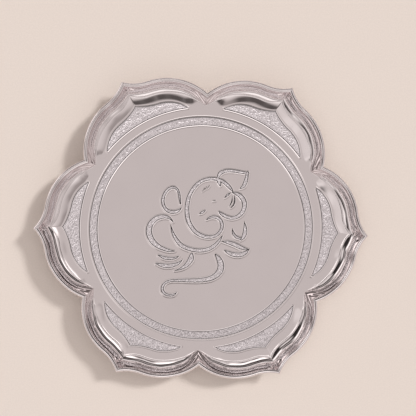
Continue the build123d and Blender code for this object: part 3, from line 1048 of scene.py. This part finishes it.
class THALI_OT_stage(Operator):
    """Set the pale floor, the soft light and the camera"""

    bl_idname = "thali.stage"
    bl_label = "Stage"

    # Light all round the tray: its levels at angles from the zenith, in degrees
    all_round = (
        (24, 0.62), (30, 0.9), (38, 0.9), (44, 0.5), (50, 0.27), (58, 0.3), (62, 0.8), (67, 0.8),
        (69, 0.15), (71, 0.15), (73, 0.45), (76, 0.45), (78, 0.12), (81, 0.12),
    )
    # Levels that take their place round each of these turns from +X, later ones over earlier ones
    surrounds = {
        289: (
            (22, 0.62), (26, 0.1), (32, 0.11), (36, 0.6), (40, 0.85), (44, 1.1), (50, 1.0), (55, 0.7),
            (60, 0.8), (66, 0.55), (70, 1.2), (76, 1.15), (80, 0.4),
        ),
        262: (
            (22, 0.62), (26, 0.1), (32, 0.11), (36, 0.6), (41, 0.85), (50, 1.0), (57, 0.6), (66, 0.5),
            (70, 1.2), (76, 1.1), (80, 0.3),
        ),
        235: (
            (14, 0.62), (18, 0.85), (27, 0.85), (33, 0.7), (44, 0.6), (50, 1.05), (58, 0.5), (64, 0.4),
            (68, 1.3), (75, 1.2), (79, 0.2),
        ),
        175: (
            (18, 0.62), (28, 0.75), (38, 0.95), (44, 0.22), (56, 0.18), (61, 0.95), (66, 0.85),
            (68, 0.06), (71, 0.06), (73, 0.45), (76, 0.45), (78, 0.05), (81, 0.05),
        ),
        200: (
            (15, 0.62), (19, 0.8), (27, 0.8), (38, 1.0), (46, 0.3), (55, 0.3), (59, 1.2), (68, 1.1),
            (71, 0.08), (73, 0.35), (76, 0.35), (78, 0.1), (80, 0.95),
        ),
        217: (
            (14, 0.62), (18, 0.74), (26, 0.78), (31, 0.7), (38, 0.98), (43, 0.6), (47, 0.12),
            (57, 0.12), (60, 1.1), (64, 0.9), (67, 0.05), (71, 0.05), (73, 0.35), (76, 0.35),
            (77, 0.06), (79, 1.1), (81, 0.9),
        ),
        154: (
            (25, 0.62), (28, 1.6), (38, 1.6), (42, 0.7), (45, 0.1), (48, 0.1), (50, 1.5), (54, 1.4),
            (57, 0.03), (70, 0.03), (72, 0.15), (75, 0.15), (77, 1.6), (81, 1.4),
        ),
        125: (
            (25, 0.62), (28, 1.5), (38, 1.4), (43, 0.5), (47, 0.18), (58, 0.18), (61, 1.0), (65, 0.8),
            (67, 0.04), (71, 0.04), (73, 0.45), (76, 0.45), (78, 0.04), (81, 0.04),
        ),
        92: (
            (25, 0.62), (28, 1.6), (40, 1.6), (44, 0.6), (48, 0.12), (56, 0.12), (59, 1.6), (65, 1.6),
            (67, 0.03), (71, 0.03), (73, 0.2), (76, 0.2), (78, 0.03), (80, 0.03), (82, 1.2),
        ),
        60: (
            (25, 0.62), (28, 1.5), (38, 1.4), (43, 0.5), (47, 0.18), (59, 0.18), (63, 1.0), (66, 0.8),
            (68, 0.04), (71, 0.04), (73, 0.45), (76, 0.45), (78, 0.04), (81, 0.04),
        ),
        30: (
            (26, 0.62), (29, 1.6), (38, 1.6), (43, 0.9), (47, 0.12), (58, 0.12), (61, 1.6), (67, 1.6),
            (69, 0.03), (71, 0.03), (73, 0.2), (76, 0.2), (78, 0.03), (81, 0.03),
        ),
        356: (
            (24, 0.62), (34, 0.7), (44, 0.5), (48, 0.18), (60, 0.18), (64, 1.0), (68, 0.85), (70, 0.06),
            (71, 0.06), (73, 0.4), (76, 0.4), (78, 0.05), (81, 0.05),
        ),
        309: (
            (21, 0.62), (25, 0.36), (31, 0.38), (35, 0.62), (40, 0.95), (50, 0.9), (56, 0.6), (64, 0.6),
            (70, 1.1), (77, 1.0), (81, 0.45),
        ),
        328: (
            (20, 0.62), (23, 0.34), (28, 0.42), (32, 0.65), (40, 0.74), (50, 0.68), (56, 0.4),
            (63, 0.34), (68, 0.58), (78, 0.52), (81, 0.4),
        ),
        343: (
            (20, 0.62), (24, 0.5), (30, 0.65), (40, 0.78), (50, 0.7), (56, 0.4), (63, 0.45), (67, 0.75),
            (77, 0.66), (81, 0.45),
        ),
    }
    # A plain pale strip down to the floor, the same in every direction
    horizon = ((84, 0.75), (90, 0.75))
    # How far to either side those levels hold in full, and where they end, in degrees
    sector_core = 7
    sector_edge = 23

    # Tints of the light's darks and of its brights
    dark_tint = (1, 0.87, 0.845)
    bright_tint = (1, 0.96, 0.945)

    def tinted(self, level):
        """A light level as a colour: warm in the darks, nearly white in the brights."""
        white = min(level, 1)
        tints = zip(self.dark_tint, self.bright_tint)
        return (*[level * (dark + (bright - dark) * white) for dark, bright in tints], 1)

    def sky(self, scene):
        """Studio light: even overhead, with bright and dark bands lower down that differ by direction."""
        world = bpy.data.worlds.new("studio")
        world.use_nodes = True
        scene.world = world
        sky = Nodes(world.node_tree)
        way = sky.node("ShaderNodeTexCoord").outputs["Generated"]
        split = sky.node("ShaderNodeSeparateXYZ")
        sky.feed(split.inputs["Vector"], way)
        fall = sky.step("ShaderNodeMath", "ARCCOSINE", split.outputs["Z"])
        share = sky.step("ShaderNodeMath", "DIVIDE", fall.outputs["Value"], pi / 2)
        level_way = sky.step("ShaderNodeVectorMath", "MULTIPLY", way, (1, 1, 0))
        heading = sky.step("ShaderNodeVectorMath", "NORMALIZE", level_way.outputs["Vector"])

        def bands(upper_levels):
            """The light at each angle from the zenith, down to the horizon."""
            levels = (*upper_levels, *self.horizon)
            stops = [(fallen / 90, self.tinted(level)) for fallen, level in levels]
            return sky.ramp(share.outputs["Value"], stops)

        light = bands(self.all_round)
        edge = cos(radians(self.sector_edge))
        core = cos(radians(self.sector_core))
        for turn, levels in self.surrounds.items():
            middle = ray(radians(turn))
            facing = sky.step("ShaderNodeVectorMath", "DOT_PRODUCT", heading.outputs["Vector"],
                              (middle.real, middle.imag, 0))
            soft = sky.spread(facing.outputs["Value"], low=0, high=1, start=edge, end=core,
                              interpolation_type="SMOOTHSTEP")
            light = sky.mixed(soft, light, bands(levels), "RGBA")
        sky.feed(sky.tree.nodes["Background"].inputs["Color"], light)

    def execute(self, context):
        scene = context.scene
        stage = scene.thali_stage
        scene.view_settings.view_transform = "Standard"
        self.sky(scene)

        ground = Shading("pale_floor", metallic=0.0)
        speckle = ground.noise(scale=900, detail=2)
        shade = ground.blend(speckle, darker(stage.floor, share=0.96), stage.floor)
        ground.surface(shade, stage.floor_roughness)
        half = stage.floor_size / 2
        mesh = bpy.data.meshes.new("floor")
        sides = ((-1, -1), (1, -1), (1, 1), (-1, 1))
        corners = [(x * half, y * half, -stage.floor_drop) for x, y in sides]
        mesh.from_pydata(corners, [], [(0, 1, 2, 3)])
        mesh.materials.append(ground.material)
        floor = bpy.data.objects.new("floor", mesh)
        scene.collection.objects.link(floor)

        key = bpy.data.objects.new("key", bpy.data.lights.new("key", "SUN"))
        key.data.energy = stage.key_strength
        key.data.angle = stage.key_softness
        key.visible_glossy = False
        flat = ray(stage.key_turn) * cos(stage.key_height)
        toward = Vector((flat.real, flat.imag, sin(stage.key_height)))
        key.rotation_mode = "QUATERNION"
        key.rotation_quaternion = toward.to_track_quat("Z", "Y")
        scene.collection.objects.link(key)

        across = sin(stage.lean_right)
        up = sin(stage.lean_up)
        back = Vector((across, up, (1 - across**2 - up**2) ** 0.5))
        upright = Vector((sin(stage.roll), cos(stage.roll), 0))
        right = upright.cross(back).normalized()
        camera = bpy.data.objects.new("camera", bpy.data.cameras.new("camera"))
        camera.data.lens = stage.lens
        camera.data.sensor_width = 36
        camera.data.shift_x = stage.shift_x
        camera.data.shift_y = stage.shift_y
        camera.data.clip_start = 0.01
        centre = Vector((0, 0, scene.thali_section.floor_top))
        axes = Matrix((right, back.cross(right), back)).transposed().to_4x4()
        camera.matrix_world = Matrix.Translation(centre + back * stage.distance) @ axes
        scene.collection.objects.link(camera)
        scene.camera = camera
        return {"FINISHED"}


class THALI_PT_tray(Panel):
    """Lists the tray's pieces and their settings"""

    bl_idname = "THALI_PT_tray"
    bl_label = "Lotus Puja Thali"
    bl_space_type = "VIEW_3D"
    bl_region_type = "UI"
    bl_category = "Thali"

    def draw(self, context):
        for operator in OPERATORS:
            self.layout.operator(operator.bl_idname)
        for name in SETTINGS:
            group = getattr(context.scene, name)
            box = self.layout.box()
            for prop in group.__annotations__:
                box.prop(group, prop)


OPERATORS = (
    THALI_OT_base_plate,
    THALI_OT_petal_margins,
    THALI_OT_stippled_ring,
    THALI_OT_crescent_panels,
    THALI_OT_engraved_floor,
    THALI_OT_petal_walls,
    THALI_OT_rim_wires,
    THALI_OT_stage,
)
SETTINGS = {
    "thali_outline": PetalOutline,
    "thali_section": WallSection,
    "thali_pattern": FloorPattern,
    "thali_figure": FigureSizes,
    "thali_finish": PlateFinish,
    "thali_stage": StageLook,
}


def register():
    for name, group in SETTINGS.items():
        bpy.utils.register_class(group)
        setattr(bpy.types.Scene, name, PointerProperty(type=group))
    for kind in (*OPERATORS, THALI_PT_tray):
        bpy.utils.register_class(kind)


def unregister():
    for kind in (THALI_PT_tray, *reversed(OPERATORS)):
        bpy.utils.unregister_class(kind)
    for name, group in reversed(SETTINGS.items()):
        delattr(bpy.types.Scene, name)
        bpy.utils.unregister_class(group)


def main():
    register()
    bpy.ops.thali.base_plate()
    bpy.ops.thali.petal_margins()
    bpy.ops.thali.stippled_ring()
    bpy.ops.thali.crescent_panels()
    bpy.ops.thali.engraved_floor()
    bpy.ops.thali.petal_walls()
    bpy.ops.thali.rim_wires()
    bpy.ops.thali.stage()


if __name__ == "__main__":
    main()
